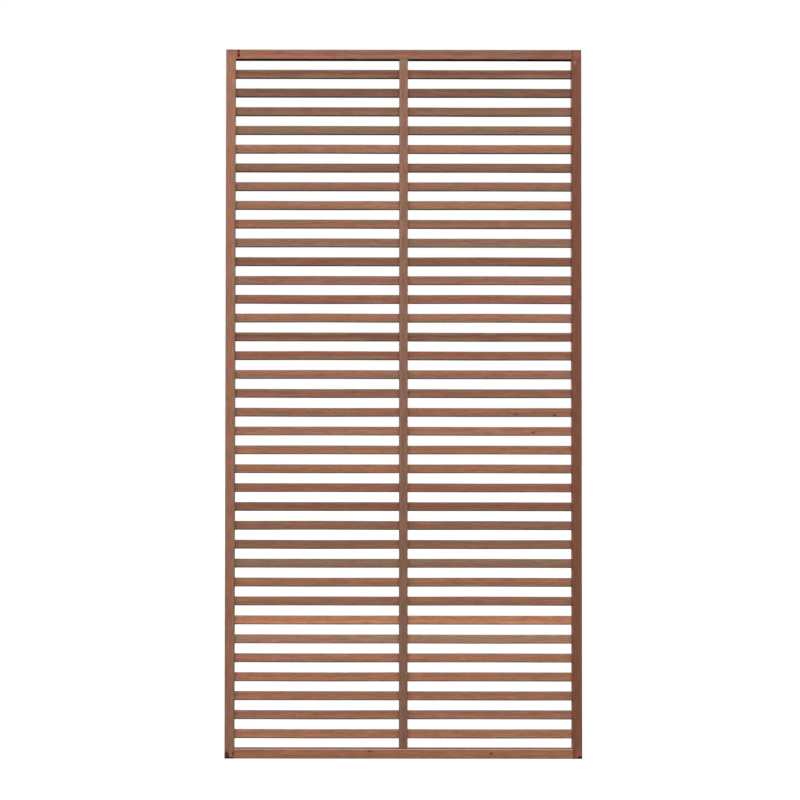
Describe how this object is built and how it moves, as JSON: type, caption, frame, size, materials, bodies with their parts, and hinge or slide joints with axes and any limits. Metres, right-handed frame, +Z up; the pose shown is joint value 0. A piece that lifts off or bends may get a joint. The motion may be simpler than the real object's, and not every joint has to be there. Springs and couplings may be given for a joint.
{
  "type": "garden privacy screen",
  "caption": "Flat slatted hardwood screen panel: a slim frame filled with thin horizontal slats and equal gaps, and a centre batten, to shield a patio, deck or border from view.",
  "frame": {"origin": "middle of the panel's width and depth, on the plane of its lower edge", "axes": "+X to the right seen from the front, +Y from the front to the back, +Z up along the stiles"},
  "size_m": [0.9, 0.03, 1.79],
  "materials": {
    "frame_hardwood": "planed and oiled, satin",
    "slat_hardwood": "planed and oiled, satin",
    "screw_steel": "stainless, satin",
    "pin_steel": "stainless, satin"
  },
  "bodies": {
    "root": {"stile_left": "frame_hardwood", "stile_right": "frame_hardwood", "rail_top": "frame_hardwood", "rail_bottom": "frame_hardwood", "mullion_front": "frame_hardwood", "mullion_back": "frame_hardwood", "slat_01": "slat_hardwood", "slat_02": "slat_hardwood", "slat_03": "slat_hardwood", "slat_04": "slat_hardwood", "slat_05": "slat_hardwood", "slat_06": "slat_hardwood", "slat_07": "slat_hardwood", "slat_08": "slat_hardwood", "slat_09": "slat_hardwood", "slat_10": "slat_hardwood", "slat_11": "slat_hardwood", "slat_12": "slat_hardwood", "slat_13": "slat_hardwood", "slat_14": "slat_hardwood", "slat_15": "slat_hardwood", "slat_16": "slat_hardwood", "slat_17": "slat_hardwood", "slat_18": "slat_hardwood", "slat_19": "slat_hardwood", "slat_20": "slat_hardwood", "slat_21": "slat_hardwood", "slat_22": "slat_hardwood", "slat_23": "slat_hardwood", "slat_24": "slat_hardwood", "slat_25": "slat_hardwood", "slat_26": "slat_hardwood", "slat_27": "slat_hardwood", "slat_28": "slat_hardwood", "slat_29": "slat_hardwood", "slat_30": "slat_hardwood", "slat_31": "slat_hardwood", "slat_32": "slat_hardwood", "slat_33": "slat_hardwood", "slat_34": "slat_hardwood", "slat_35": "slat_hardwood", "slat_36": "slat_hardwood", "corner_screws": "screw_steel", "mullion_screws": "screw_steel", "pins_left": "pin_steel", "pins_mullion": "pin_steel", "pins_right": "pin_steel"}
  },
  "joints": []
}
